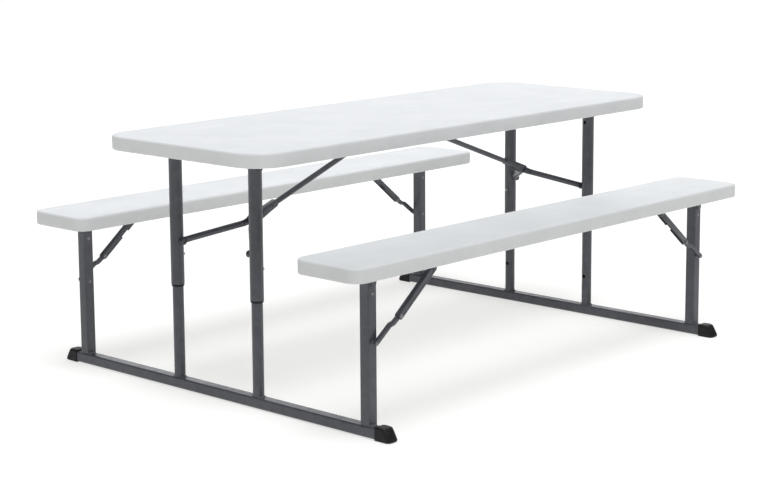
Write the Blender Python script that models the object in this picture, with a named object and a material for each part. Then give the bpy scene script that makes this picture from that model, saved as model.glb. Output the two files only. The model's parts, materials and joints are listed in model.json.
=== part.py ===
"""Folding picnic table: a moulded table top and two bench seats on two folding steel end frames.

X runs along the table, Y across it and Z up. The origin is on the ground at the middle of the footprint.
The right end is +X and the rear side is +Y. Every piece is modelled for the right rear quarter in its own
local frame, and mirrored from there to the other quarters. Units are metres.
"""

import math

import bmesh
import bpy
from mathutils import Matrix, Vector

# Slabs: the table top and the two seats are trays with a rim round a thinner panel.
TABLE_LENGTH = 1.784
TABLE_WIDTH = 0.650
TABLE_HEIGHT = 0.730
TABLE_CORNER = 0.096
SEAT_LENGTH = 1.760
SEAT_WIDTH = 0.233
SEAT_HEIGHT = 0.474
SEAT_CORNER = 0.040
SEAT_OFFSET = 0.544
SLAB_EDGE = 0.040
SLAB_PANEL = 0.016
RIM_WIDTH = 0.020
RIM_DRAFT = 0.004
TOP_FILLET = 0.006
BOTTOM_FILLET = 0.003

# End frames.
FRAME_X = 0.750
RAIL_WIDTH = 0.034
RAIL_HEIGHT = 0.030
RAIL_LIFT = 0.002
RAIL_LENGTH = 1.280
RAIL_TOP = RAIL_LIFT + RAIL_HEIGHT
CAP_START = 0.611
CAP_HEIGHT = 0.0375
BENCH_LEG_SIZE = 0.032
BENCH_LEG_Y = 0.575
TABLE_LEG_Y = 0.162
UPPER_LEG_RADIUS = 0.019
LOWER_LEG_RADIUS = 0.0158
WALL = 0.0015
LOWER_LEG_TOP = 0.400
UPPER_LEG_BOTTOM = 0.302
UPPER_LEG_TOP = 0.685

# Hinges: the table sinks by TABLE_DROP before the frames fold, which lines its hinges up with the seats'.
SEAT_HINGE_Z = 0.411
TABLE_DROP = TABLE_HEIGHT - SEAT_HEIGHT
TABLE_HINGE_Z = SEAT_HINGE_Z + TABLE_DROP
HINGE_PIN_RADIUS = 0.005
HINGE_HOLE_RADIUS = 0.0058

# Snap buttons and their holes, on the side of each leg that faces the middle of the table.
BUTTON_Z = 0.385
BUTTON_RADIUS = 0.0045
BUTTON_HOLE_RADIUS = 0.0051
BUTTON_INNER = 0.0168
BUTTON_OUTER = 0.0280

# Table brace: pivots as (x, z), the lengths between them, and how far the tube passes above the elbow pin.
BRACE_ANCHOR = (0.035, 0.700)
WISHBONE_FOOT = (FRAME_X, 0.427)
BRACE_LENGTH = 0.6192
WISHBONE_LENGTH = 0.1462
BRACE_RISE = 0.005
BRACE_TUBE_RADIUS = 0.008
WISHBONE_RADIUS = 0.009
ELBOW_PIN_RADIUS = 0.0045
ELBOW_HOLE_RADIUS = 0.0051

# Bench braces, outside the bench legs.
BENCH_BRACE_Y = 0.6025
BENCH_BRACE_ANCHOR = (0.528, 0.4174)
BENCH_BRACE_FOOT = (FRAME_X, 0.253)
BENCH_CHANNEL_LENGTH = 0.1699
BENCH_LINK_LENGTH = 0.1067
BENCH_PIVOT_RADIUS = 0.0036
BENCH_PIVOT_HOLE = 0.0044

PLATE = 0.002
GAP = 0.0003

ENDS = (("left", -1), ("right", 1))
SIDES = (("front", -1), ("rear", 1))


# Outlines and solids -----------------------------------------------------------------------------------


def arc(centre, radius, start, end, steps):
    """Points on an arc, from start to end in degrees."""
    angles = [math.radians(start + (end - start) * i / steps) for i in range(steps + 1)]
    return [(centre[0] + radius * math.cos(a), centre[1] + radius * math.sin(a)) for a in angles]


def rounded_rectangle(length, width, radius, steps, inset=0.0):
    """Outline with round corners. The inset moves every side and corner inwards by the same distance."""
    cx, cy = length / 2 - radius, width / 2 - radius
    r = radius - inset
    points = []
    for sx, sy, start in ((1, 1, 0), (-1, 1, 90), (-1, -1, 180), (1, -1, 270)):
        points += arc((sx * cx, sy * cy), r, start, start + 90, steps)
    return points


def finish(bm):
    """Turns a closed bmesh into a mesh whose faces point outwards."""
    bmesh.ops.recalc_face_normals(bm, faces=bm.faces)
    mesh = bpy.data.meshes.new("solid")
    bm.to_mesh(mesh)
    bm.free()
    return mesh


def prism(outline, low, high, axis):
    """Solid with the given outline, from low to high along the axis. The outline is in the other two axes."""
    place = {
        "X": lambda a, b, d: (d, a, b),
        "Y": lambda a, b, d: (a, d, b),
        "Z": lambda a, b, d: (a, b, d),
    }[axis]
    bm = bmesh.new()
    bottom = [bm.verts.new(place(a, b, low)) for a, b in outline]
    top = [bm.verts.new(place(a, b, high)) for a, b in outline]
    bm.faces.new(bottom)
    bm.faces.new(reversed(top))
    for i in range(len(outline)):
        j = (i + 1) % len(outline)
        bm.faces.new((bottom[i], top[i], top[j], bottom[j]))
    return finish(bm)


def box(x, y, z):
    """Box between the two values given for each axis."""
    return prism([(x[0], y[0]), (x[1], y[0]), (x[1], y[1]), (x[0], y[1])], z[0], z[1], "Z")


def disc(centre, radius, low, high, axis="Y", sides=16):
    """Round solid along an axis."""
    return prism(arc(centre, radius, 0, 360, sides)[:-1], low, high, axis)


def stack(rings):
    """Solid through a row of rings with as many points each, closed with a flat face at both ends."""
    bm = bmesh.new()
    rows = [[bm.verts.new(p) for p in ring] for ring in rings]
    bm.faces.new(rows[0])
    bm.faces.new(reversed(rows[-1]))
    for a, b in zip(rows, rows[1:]):
        for i in range(len(a)):
            j = (i + 1) % len(a)
            bm.faces.new((a[i], b[i], b[j], a[j]))
    return finish(bm)


def hollow(outer, inner, low, high):
    """Tube along Z between an outer and an inner outline, open at both ends."""
    bm = bmesh.new()
    rows = [
        [bm.verts.new((x, y, z)) for x, y in outline]
        for outline, z in ((outer, low), (outer, high), (inner, high), (inner, low))
    ]
    for a, b in zip(rows, rows[1:] + rows[:1]):
        for i in range(len(a)):
            j = (i + 1) % len(a)
            bm.faces.new((a[i], b[i], b[j], a[j]))
    return finish(bm)


def turned(profile, sides, closed_ends=True):
    """Solid turned about Z from (radius, z) points. With closed_ends the profile's ends meet the axis."""
    bm = bmesh.new()
    rows = []
    for radius, z in profile:
        rows.append([bm.verts.new((x, y, z)) for x, y in arc((0, 0), radius, 0, 360, sides)[:-1]])
    pairs = list(zip(rows, rows[1:]))
    if closed_ends:
        bm.faces.new(rows[0])
        bm.faces.new(reversed(rows[-1]))
    else:
        pairs.append((rows[-1], rows[0]))
    for a, b in pairs:
        for i in range(sides):
            j = (i + 1) % sides
            bm.faces.new((a[i], b[i], b[j], a[j]))
    return finish(bm)


def round_tube(radius, low, high, sides=20):
    """Round steel tube along Z."""
    outer = arc((0, 0), radius, 0, 360, sides)[:-1]
    inner = arc((0, 0), radius - WALL, 0, 360, sides)[:-1]
    return hollow(outer, inner, low, high)


def moved(mesh, matrix):
    """The mesh itself, moved by a matrix that doesn't mirror it."""
    mesh.transform(matrix)
    return mesh


def mirrored(mesh, sx, sy):
    """Copy of a mesh in the quarter of the table that the two signs name."""
    copy = mesh.copy()
    copy.transform(Matrix.Diagonal((sx, sy, 1, 1)))
    if sx * sy < 0:
        copy.flip_normals()
    return copy


def boolean(base, tools, operation):
    """Joins tools to a mesh or cuts them from it, one after the other."""
    for tool in tools:
        target = bpy.data.objects.new("target", base)
        guide = bpy.data.objects.new("guide", tool)
        bpy.context.scene.collection.objects.link(target)
        bpy.context.scene.collection.objects.link(guide)
        modifier = target.modifiers.new("boolean", "BOOLEAN")
        modifier.operation = operation
        modifier.solver = "EXACT"
        modifier.object = guide
        depsgraph = bpy.context.evaluated_depsgraph_get()
        base = bpy.data.meshes.new_from_object(target.evaluated_get(depsgraph))
        bpy.data.objects.remove(target)
        bpy.data.objects.remove(guide)
    return base


def union(base, *tools):
    return boolean(base, tools, "UNION")


def cut(base, *tools):
    return boolean(base, tools, "DIFFERENCE")


# Where the braces lie ----------------------------------------------------------------------------------


def elbow(anchor, foot, upper, lower, side):
    """Where two links meet. Side is 1 for above the line from anchor to foot, and -1 for below it."""
    a, b = Vector(anchor), Vector(foot)
    span = b - a
    reach = span.length
    along = (upper**2 - lower**2 + reach**2) / (2 * reach)
    off = math.sqrt(upper**2 - along**2)
    unit = span / reach
    return a + unit * along + Vector((-unit.y, unit.x)) * off * side


def tilt(start, end):
    """Turns a piece that was drawn along +X in its local frame into the line from start to end, as (x, z)."""
    return Matrix.Rotation(-math.atan2(end[1] - start[1], end[0] - start[0]), 4, "Y")


BRACE_ELBOW = elbow(BRACE_ANCHOR, WISHBONE_FOOT, BRACE_LENGTH, WISHBONE_LENGTH, 1)
BRACE_SLOPE = math.asin(BRACE_RISE / BRACE_LENGTH)
BENCH_ELBOW = elbow(BENCH_BRACE_ANCHOR, BENCH_BRACE_FOOT, BENCH_CHANNEL_LENGTH, BENCH_LINK_LENGTH, -1)


# Pieces, each for the right rear quarter ---------------------------------------------------------------


def slab(length, width, height, corner, steps):
    """Tray slab: flat top, rounded top and bottom edges, and a panel that is recessed from below."""
    bottom = height - SLAB_EDGE
    levels = [(BOTTOM_FILLET * 0.3, bottom + BOTTOM_FILLET * 0.3), (0.0, bottom + BOTTOM_FILLET)]
    for angle in (0, 30, 60, 90):
        inset = TOP_FILLET * (1 - math.cos(math.radians(angle)))
        levels.append((inset, height - TOP_FILLET * (1 - math.sin(math.radians(angle)))))
    below = [
        (RIM_WIDTH + RIM_DRAFT, height - SLAB_PANEL),
        (RIM_WIDTH, bottom),
        (BOTTOM_FILLET, bottom),
    ]
    rings = []
    for inset, z in below + levels:
        outline = rounded_rectangle(length, width, corner, steps, inset)
        rings.append([(x, y, z) for x, y in outline])
    return stack(rings)


def table_leg_bracket():
    """Hinge bracket: a plate under the panel, two cheeks beside the leg, and the pin's two heads."""
    top = TABLE_HEIGHT - SLAB_PANEL - TABLE_HINGE_Z - GAP
    inner = UPPER_LEG_RADIUS + 0.0006
    half = 0.014
    cheek = arc((0, 0), 0.009, 180, 360, 8) + [(half, top - PLATE / 2), (-half, top - PLATE / 2)]
    bracket = box((-0.028, 0.028), (-0.045, 0.045), (top - PLATE, top))
    for side in (-1, 1):
        low, high = sorted((side * inner, side * (inner + PLATE)))
        bracket = union(bracket, prism(cheek, low, high, "Y"))
        low, high = sorted((side * (inner + PLATE - 0.0006), side * (inner + PLATE + 0.003)))
        bracket = union(bracket, disc((0, 0), 0.0065, low, high))
    return bracket


def bench_hinge_plate():
    """Plate under a seat, with the leg's hinge pin riveted into two cheeks and the brace's lug and pivot."""
    top = SEAT_HEIGHT - SLAB_PANEL - SEAT_HINGE_Z - GAP
    half = 0.013
    inner = BENCH_LEG_SIZE / 2 + 0.0005
    plate = box((-0.255, 0.030), (-0.030, 0.037), (top - PLATE, top))
    cheek = arc((0, 0), half, 180, 360, 8) + [(half, top - PLATE / 2), (-half, top - PLATE / 2)]
    for side in (-1, 1):
        low, high = sorted((side * inner, side * (inner + PLATE)))
        plate = union(plate, prism(cheek, low, high, "Y"))
    plate = union(plate, disc((0, 0), HINGE_PIN_RADIUS, -inner - PLATE, inner + PLATE))
    for side in (-1, 1):
        low, high = sorted((side * (inner + PLATE / 2), side * (inner + PLATE + 0.002)))
        plate = union(plate, disc((0, 0), 0.008, low, high))
    pivot = (BENCH_BRACE_ANCHOR[0] - FRAME_X, BENCH_BRACE_ANCHOR[1] - SEAT_HINGE_Z)
    middle = BENCH_BRACE_Y - BENCH_LEG_Y
    lug = arc(pivot, 0.010, 180, 360, 8)
    lug += [(pivot[0] + 0.010, top - PLATE / 2), (pivot[0] - 0.010, top - PLATE / 2)]
    plate = union(plate, prism(lug, middle - 0.002, middle + 0.003, "Y"))
    plate = union(plate, disc(pivot, BENCH_PIVOT_RADIUS, middle - 0.0088, middle + 0.0088, sides=12))
    for side in (-1, 1):
        low, high = sorted((middle + side * 0.0076, middle + side * 0.0094))
        plate = union(plate, disc(pivot, 0.006, low, high, sides=12))
    return plate


def base_rail():
    """Rectangular tube across the table, open at both ends, where the foot caps close it."""
    outer = rounded_rectangle(RAIL_WIDTH, RAIL_HEIGHT, 0.004, 3)
    inner = rounded_rectangle(RAIL_WIDTH, RAIL_HEIGHT, 0.004, 3, WALL)
    rail = hollow(outer, inner, -RAIL_LENGTH / 2, RAIL_LENGTH / 2)
    return moved(rail, Matrix.Rotation(math.radians(90), 4, "X"))


def foot_cap():
    """Black shoe over the end of the rail: a close sleeve with a nose that leans in towards its top."""
    length = 0.053
    profile = [
        (0.000, 0.0012),
        (0.0012, 0.000),
        (length - 0.005, 0.000),
        (length - 0.0012, 0.0018),
        (length, 0.0055),
        (length - 0.0145, CAP_HEIGHT - 0.0065),
        (length - 0.0175, CAP_HEIGHT - 0.0020),
        (length - 0.0220, CAP_HEIGHT),
        (0.0012, CAP_HEIGHT),
        (0.000, CAP_HEIGHT - 0.0012),
    ]
    half = 0.0195
    shoe = bmesh.new()
    shoe.from_mesh(prism(profile, -half, half, "X"))
    nose = [
        e
        for e in shoe.edges
        if abs(e.verts[0].co.x - e.verts[1].co.x) < 1e-6
        and min(v.co.y for v in e.verts) > 0.030
        and min(v.co.z for v in e.verts) > 0.001
    ]
    bmesh.ops.bevel(shoe, geom=nose, offset=0.007, segments=3, profile=0.5, affect="EDGES")
    inset_x = RAIL_WIDTH / 2 + GAP
    socket_end = RAIL_LENGTH / 2 + GAP - CAP_START
    socket = box((-inset_x, inset_x), (-0.01, socket_end), (RAIL_LIFT - GAP, RAIL_TOP + GAP))
    return cut(finish(shoe), socket)


def bench_leg():
    """Square tube on the rail, with the hinge hole near its top and the brace's stud on its outer face."""
    outer = rounded_rectangle(BENCH_LEG_SIZE, BENCH_LEG_SIZE, 0.003, 2)
    inner = rounded_rectangle(BENCH_LEG_SIZE, BENCH_LEG_SIZE, 0.003, 2, WALL)
    leg = hollow(outer, inner, RAIL_TOP + GAP - SEAT_HINGE_Z, 0.013)
    foot = (0.0, BENCH_BRACE_FOOT[1] - SEAT_HINGE_Z)
    face = BENCH_LEG_SIZE / 2
    leg = union(leg, disc(foot, 0.006, face - WALL / 2, face + 0.0026, sides=12))
    stud_end = BENCH_BRACE_Y - BENCH_LEG_Y - 0.0055
    leg = union(leg, disc(foot, BENCH_PIVOT_RADIUS, face - WALL / 2, stud_end, sides=12))
    return cut(leg, disc((0, 0), HINGE_HOLE_RADIUS, -0.03, 0.03))


def lower_table_leg():
    """Inner tube, with holes where the pressed buttons stand when the table is up and when it is down."""
    leg = round_tube(LOWER_LEG_RADIUS, RAIL_TOP + GAP, LOWER_LEG_TOP)
    holes = [BUTTON_Z, BUTTON_Z - TABLE_DROP]
    return cut(leg, *(disc((0, z), BUTTON_HOLE_RADIUS + 0.0005, -0.03, 0, "X", 12) for z in holes))


def upper_table_leg():
    """Outer tube, with one hole for the button when the table is up and one for when it is down."""
    leg = round_tube(UPPER_LEG_RADIUS, UPPER_LEG_BOTTOM, UPPER_LEG_TOP)
    holes = [BUTTON_Z, BUTTON_Z + TABLE_DROP]
    return cut(leg, *(disc((0, z), BUTTON_HOLE_RADIUS, -0.03, 0, "X", 12) for z in holes))


def leg_collar():
    """Bush between the two tubes, with a lip below the upper one."""
    bore = LOWER_LEG_RADIUS + GAP
    skin = UPPER_LEG_RADIUS - WALL - GAP
    lip = UPPER_LEG_RADIUS - 0.0009
    profile = [
        (bore, -0.006),
        (lip, -0.006),
        (lip, -GAP),
        (skin, -GAP),
        (skin, 0.023),
        (bore, 0.023),
    ]
    return turned(profile, 20, closed_ends=False)


def snap_button():
    """Button with a domed end, which points to the middle of the table."""
    profile = [
        (BUTTON_RADIUS, BUTTON_INNER),
        (BUTTON_RADIUS, BUTTON_OUTER - 0.0022),
        (BUTTON_RADIUS * 0.85, BUTTON_OUTER - 0.0008),
        (BUTTON_RADIUS * 0.5, BUTTON_OUTER),
    ]
    return moved(turned(profile, 12), Matrix.Rotation(math.radians(-90), 4, "Y"))


def brace_anchor():
    """Two flanged cheeks under the panel, joined by the pin that the brace tube hangs on."""
    top = TABLE_HEIGHT - SLAB_PANEL - BRACE_ANCHOR[1] - GAP
    inner = BRACE_TUBE_RADIUS + 0.0008
    half = 0.011
    cheek = arc((0, 0), half, 180, 360, 8) + [(half, top - PLATE / 2), (-half, top - PLATE / 2)]
    anchor = disc((0, 0), 0.004, -inner - PLATE - 0.002, inner + PLATE + 0.002, sides=12)
    for side in (-1, 1):
        low, high = sorted((side * inner, side * (inner + PLATE)))
        anchor = union(anchor, prism(cheek, low, high, "Y"))
        low, high = sorted((side * inner, side * 0.032))
        anchor = union(anchor, box((-0.016, 0.016), (low, high), (top - PLATE, top)))
    return anchor


def brace_tube():
    """Long tube with the anchor pin's hole. Its lower end passes above the elbow pin."""
    tube = round_tube(BRACE_TUBE_RADIUS, -0.011, BRACE_LENGTH - 0.016, 16)
    tube = moved(tube, Matrix.Rotation(math.radians(90) - BRACE_SLOPE, 4, "Y"))
    return moved(cut(tube, disc((0, 0), 0.0048, -0.02, 0.02)), tilt(BRACE_ANCHOR, BRACE_ELBOW))


def brace_channel():
    """Channel over the tube's lower end, open below, with the elbow hole and the heads of two rivets."""
    half = 0.0100
    width = 0.0105
    wall = 0.002
    cover = BRACE_TUBE_RADIUS + GAP + wall

    def axis_at(x):
        """Height of the tube's axis above the line through the two pins."""
        return BRACE_RISE + x * math.tan(BRACE_SLOPE)

    start, back = -0.105, -0.004
    top = [(back, axis_at(back) + cover), (start, axis_at(start) + cover)]
    bottom = [(start, axis_at(start) - BRACE_TUBE_RADIUS)]
    bottom += [(-0.070, axis_at(-0.070) - 0.0105), (-0.035, -half)]
    outline = top + bottom + arc((0.005, 0), half, -90, 75, 8)
    channel = prism(outline, -width, width, "Y")
    roof = [(x, axis_at(x) + cover - wall) for x in (0.1, -0.2)]
    channel = cut(channel, prism(roof + [(-0.2, -0.04), (0.1, -0.04)], wall - width, width - wall, "Y"))
    channel = cut(channel, disc((0, 0), ELBOW_HOLE_RADIUS, -0.02, 0.02))
    for along in (-0.045, -0.085):
        for side in (-1, 1):
            low, high = sorted((side * (width - 0.001), side * (width + 0.0018)))
            channel = union(channel, disc((along, axis_at(along)), 0.0045, low, high, sides=12))
    return moved(channel, tilt(BRACE_ANCHOR, BRACE_ELBOW))


def elbow_pin():
    """Rivet through the channel and both wishbone arms."""
    reach = 0.0151
    profile = [
        (0.0075, -reach - 0.0026),
        (0.0075, -reach),
        (ELBOW_PIN_RADIUS, -reach),
        (ELBOW_PIN_RADIUS, reach),
        (0.0075, reach),
        (0.0075, reach + 0.0026),
    ]
    return moved(turned(profile, 16), Matrix.Rotation(math.radians(90), 4, "X"))


def wishbone_arm():
    """Round bar with a flat eye at each end: one beside the channel, and one beside the upper leg."""
    leg_skin = TABLE_LEG_Y - UPPER_LEG_RADIUS
    foot = WISHBONE_LENGTH
    inner_eye = union(
        disc((0, 0), 0.0100, 0.0110, 0.0148),
        box((0.0086, 0.032), (0.0112, 0.0170), (-0.0068, 0.0068)),
    )
    outer_eye = union(
        disc((foot, 0), 0.010, leg_skin - 0.0046, leg_skin - 0.0006),
        disc((foot, 0), 0.0100, leg_skin - 0.0140, leg_skin - 0.004, sides=12),
        box((foot - 0.026, foot), (leg_skin - 0.0060, leg_skin - 0.0009), (-0.0068, 0.0068)),
    )
    start, end = Vector((0.020, 0.0208, 0)), Vector((foot - 0.016, leg_skin - 0.0105, 0))
    line = end - start
    bar = disc((0, 0), WISHBONE_RADIUS, 0, line.length, "X", 12)
    bar = moved(bar, Matrix.Translation(start) @ Matrix.Rotation(math.atan2(line.y, line.x), 4, "Z"))
    arm = union(bar, inner_eye, outer_eye)
    arm = cut(arm, disc((0, 0), ELBOW_HOLE_RADIUS, 0.005, 0.025))
    return moved(arm, tilt(BRACE_ELBOW, WISHBONE_FOOT))


def bench_brace_channel():
    """Upper link: a channel that is open below. Its inner wall has a notch for the leg's stud when folded."""
    half = 0.009
    width = 0.0073
    wall = 0.0015
    length = BENCH_CHANNEL_LENGTH
    outline = arc((0, 0), half, 90, 270, 8) + arc((length + 0.001, 0), half, -90, 90, 8)
    channel = prism(outline, -width, width, "Y")
    inside = (wall - width, width - wall)
    notch = [(0.056, -0.02), (0.086, -0.02), (0.086, -0.0036), (0.060, -0.0036), (0.056, -0.0076)]
    channel = cut(
        channel,
        box((-0.05, length + 0.05), inside, (-0.03, half - wall)),
        box((-0.05, 0.020), inside, (-0.03, 0.03)),
        prism(notch, -0.02, 0, "Y"),
        disc((0, 0), BENCH_PIVOT_HOLE, -0.02, 0.02, sides=12),
        disc((length, 0), BENCH_PIVOT_HOLE, -0.02, 0.02, sides=12),
    )
    return moved(channel, tilt(BENCH_BRACE_ANCHOR, BENCH_ELBOW))


def bench_brace_link():
    """Lower link: a narrow channel with a joggle, its elbow rivet, and the head of the stud at the leg."""
    half = 0.0063
    wall = 0.0015
    inner, outer = -0.0052, 0.0037
    length = BENCH_LINK_LENGTH
    joggle = [(0.024, -0.0005), (0.042, 0.0045)]
    upper = [(x, z + half) for x, z in joggle]
    lower = [(x + 0.002, z - half) for x, z in joggle]
    outline = arc((0, 0), half, 90, 270, 8) + lower + arc((length, 0), half, -90, 90, 8) + upper[::-1]
    hollow_part = [(x, z - wall) for x, z in [(0.010, half), *upper, (length - 0.010, half)]]
    hollow_part += [(length - 0.010, -0.02), (0.010, -0.02)]
    link = prism(outline, inner, outer, "Y")
    link = cut(link, prism(hollow_part, inner + wall, outer - wall, "Y"))
    link = union(
        link,
        disc((0, 0), BENCH_PIVOT_RADIUS, -0.0088, 0.0088, sides=12),
        disc((0, 0), 0.006, -0.0094, -0.0076, sides=12),
        disc((0, 0), 0.006, 0.0076, 0.0094, sides=12),
        disc((length, 0), 0.005, outer - 0.0005, 0.0054, sides=12),
    )
    return moved(link, tilt(BENCH_ELBOW, BENCH_BRACE_FOOT))


# Assembly ----------------------------------------------------------------------------------------------


def material(name, colour, roughness, metallic):
    """Principled material with one colour."""
    made = bpy.data.materials.new(name)
    made.use_nodes = True
    shader = made.node_tree.nodes["Principled BSDF"]
    shader.inputs["Base Color"].default_value = (*colour, 1)
    shader.inputs["Roughness"].default_value = roughness
    shader.inputs["Metallic"].default_value = metallic
    return made


def axis(name, location, parent=None):
    """Empty on a joint's axis."""
    empty = bpy.data.objects.new(name, None)
    bpy.context.scene.collection.objects.link(empty)
    empty.empty_display_size = 0.05
    return attach(empty, location, parent)


def attach(obj, location, parent):
    """Places an object at a world position, under a parent that isn't turned."""
    obj.parent = parent
    base = Vector((0, 0, 0))
    while parent:
        base += parent.location
        parent = parent.parent
    obj.location = Vector(location) - base
    return obj


def piece(name, mesh, look, location, parent=None):
    """One named sub-part with its own material, shaded smooth except at its sharp edges."""
    mesh.name = name
    mesh.materials.clear()
    mesh.materials.append(material(name, *look))
    mesh.shade_smooth()
    mesh.set_sharp_from_angle(angle=math.radians(35))
    obj = bpy.data.objects.new(name, mesh)
    bpy.context.scene.collection.objects.link(obj)
    return attach(obj, location, parent)


PLASTIC = ((0.80, 0.81, 0.82), 0.45, 0.0)
COATED_STEEL = ((0.105, 0.108, 0.118), 0.40, 0.0)
PLATED_STEEL = ((0.45, 0.45, 0.46), 0.35, 1.0)
BLACK_PLASTIC = ((0.012, 0.012, 0.013), 0.50, 0.0)


def build_slabs():
    """The table top on its slide and the two seats, which carry everything else."""
    slide = axis("table_slide", (0, 0, TABLE_HEIGHT))
    table = slab(TABLE_LENGTH, TABLE_WIDTH, 0, TABLE_CORNER, 8)
    piece("table_top", table, PLASTIC, (0, 0, TABLE_HEIGHT), slide)
    for side, sy in SIDES:
        seat = slab(SEAT_LENGTH, SEAT_WIDTH, 0, SEAT_CORNER, 6)
        piece("bench_seat_" + side, seat, PLASTIC, (0, sy * SEAT_OFFSET, SEAT_HEIGHT))
    return slide


def build_end(end, sx, slide, shapes):
    """One end frame, its legs and braces."""
    fold = axis(end + "_fold", (sx * FRAME_X, 0, SEAT_HINGE_Z))
    upper = axis(end + "_upper_leg_slide", (sx * FRAME_X, 0, TABLE_HINGE_Z), fold)
    brace = axis(end + "_brace_pivot", (sx * BRACE_ANCHOR[0], 0, BRACE_ANCHOR[1]), slide)
    wish = axis(end + "_wishbone_pivot", (sx * BRACE_ELBOW.x, 0, BRACE_ELBOW.y), brace)
    bench = axis(end + "_bench_brace_pivot", (sx * BENCH_BRACE_ANCHOR[0], 0, BENCH_BRACE_ANCHOR[1]))
    link = axis(end + "_bench_link_pivot", (sx * BENCH_ELBOW.x, 0, BENCH_ELBOW.y), bench)

    def quarter(shape, name, look, location, parent):
        """The shape once on each side of the table, at this end."""
        for side, sy in SIDES:
            x, y, z = location
            mesh = mirrored(shapes[shape], sx, sy)
            piece(f"{name}_{end}_{side}", mesh, look, (sx * x, sy * y, z), parent)

    def single(shape, name, look, location, parent):
        x, z = location
        piece(f"{name}_{end}", mirrored(shapes[shape], sx, 1), look, (sx * x, 0, z), parent)

    single("base_rail", "base_rail", COATED_STEEL, (FRAME_X, RAIL_LIFT + RAIL_HEIGHT / 2), fold)
    quarter("foot_cap", "foot_cap", BLACK_PLASTIC, (FRAME_X, CAP_START, 0), fold)
    quarter("bench_leg", "bench_leg", COATED_STEEL, (FRAME_X, BENCH_LEG_Y, SEAT_HINGE_Z), fold)
    quarter("lower_table_leg", "lower_table_leg", COATED_STEEL, (FRAME_X, TABLE_LEG_Y, 0), fold)

    quarter("upper_table_leg", "upper_table_leg", COATED_STEEL, (FRAME_X, TABLE_LEG_Y, 0), upper)
    collar = (FRAME_X, TABLE_LEG_Y, UPPER_LEG_BOTTOM)
    quarter("leg_collar", "leg_collar", BLACK_PLASTIC, collar, upper)
    for side, sy in SIDES:
        where = (sx * FRAME_X, sy * TABLE_LEG_Y, BUTTON_Z)
        press = axis(f"button_{end}_{side}", where, upper)
        mesh = mirrored(shapes["snap_button"], sx, sy)
        piece(f"snap_button_{end}_{side}", mesh, PLATED_STEEL, where, press)

    hinge = (FRAME_X, TABLE_LEG_Y, TABLE_HINGE_Z)
    quarter("table_leg_bracket", "table_leg_bracket", COATED_STEEL, hinge, slide)
    single("brace_anchor", "brace_anchor", COATED_STEEL, BRACE_ANCHOR, slide)
    single("brace_tube", "brace_tube", COATED_STEEL, BRACE_ANCHOR, brace)
    single("brace_channel", "brace_channel", COATED_STEEL, BRACE_ELBOW, brace)
    single("elbow_pin", "elbow_pin", COATED_STEEL, BRACE_ELBOW, wish)
    quarter("wishbone_arm", "wishbone_arm", COATED_STEEL, (BRACE_ELBOW.x, 0, BRACE_ELBOW.y), wish)

    hinge = (FRAME_X, BENCH_LEG_Y, SEAT_HINGE_Z)
    quarter("bench_hinge_plate", "bench_hinge_plate", COATED_STEEL, hinge, None)
    top = (BENCH_BRACE_ANCHOR[0], BENCH_BRACE_Y, BENCH_BRACE_ANCHOR[1])
    quarter("bench_brace_channel", "bench_brace_channel", COATED_STEEL, top, bench)
    middle = (BENCH_ELBOW.x, BENCH_BRACE_Y, BENCH_ELBOW.y)
    quarter("bench_brace_link", "bench_brace_link", COATED_STEEL, middle, link)


SHAPES = (
    base_rail,
    foot_cap,
    bench_leg,
    lower_table_leg,
    upper_table_leg,
    leg_collar,
    snap_button,
    table_leg_bracket,
    brace_anchor,
    brace_tube,
    brace_channel,
    elbow_pin,
    wishbone_arm,
    bench_hinge_plate,
    bench_brace_channel,
    bench_brace_link,
)


def main():
    for obj in list(bpy.data.objects):
        bpy.data.objects.remove(obj)
    shapes = {shape.__name__: shape() for shape in SHAPES}
    slide = build_slabs()
    for end, sx in ENDS:
        build_end(end, sx, slide, shapes)


main()
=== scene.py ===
"""Looks for the folding picnic table: finished pieces, materials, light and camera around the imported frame.

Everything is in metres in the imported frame: X along the table, Y across it, Z up. Pieces are built for the
right rear quarter from the CAD boxes, and mirrored to the other quarters.
"""

import json
import math
import random

import bmesh
import bpy
from mathutils import Matrix, Vector, geometry


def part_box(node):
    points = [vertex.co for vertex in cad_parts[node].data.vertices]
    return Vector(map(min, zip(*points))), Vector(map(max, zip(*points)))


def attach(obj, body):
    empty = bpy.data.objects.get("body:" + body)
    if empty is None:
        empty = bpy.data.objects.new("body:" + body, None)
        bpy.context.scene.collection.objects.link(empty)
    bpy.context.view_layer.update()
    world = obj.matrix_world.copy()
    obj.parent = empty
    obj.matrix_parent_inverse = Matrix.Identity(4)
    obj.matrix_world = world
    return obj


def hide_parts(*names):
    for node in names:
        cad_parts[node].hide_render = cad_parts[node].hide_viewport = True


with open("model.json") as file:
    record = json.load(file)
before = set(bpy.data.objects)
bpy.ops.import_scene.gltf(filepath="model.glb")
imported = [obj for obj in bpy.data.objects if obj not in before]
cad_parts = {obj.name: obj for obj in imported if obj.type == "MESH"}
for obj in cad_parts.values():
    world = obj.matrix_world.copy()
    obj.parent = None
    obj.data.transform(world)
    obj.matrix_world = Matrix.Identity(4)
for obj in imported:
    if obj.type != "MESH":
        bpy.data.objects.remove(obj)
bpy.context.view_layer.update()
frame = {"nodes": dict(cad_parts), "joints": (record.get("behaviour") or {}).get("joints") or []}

ENDS = (("left", -1), ("right", 1))
SIDES = (("front", -1), ("rear", 1))
Q = "_right_rear"


# Sizes from the CAD boxes ------------------------------------------------------------------------------


def centre(node):
    low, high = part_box(node)
    return (low + high) / 2


def joint(name):
    """Position of a hinge, as stored in the record."""
    return Vector(next(j["pos_m"] for j in frame["joints"] if j["name"] == name))


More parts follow.
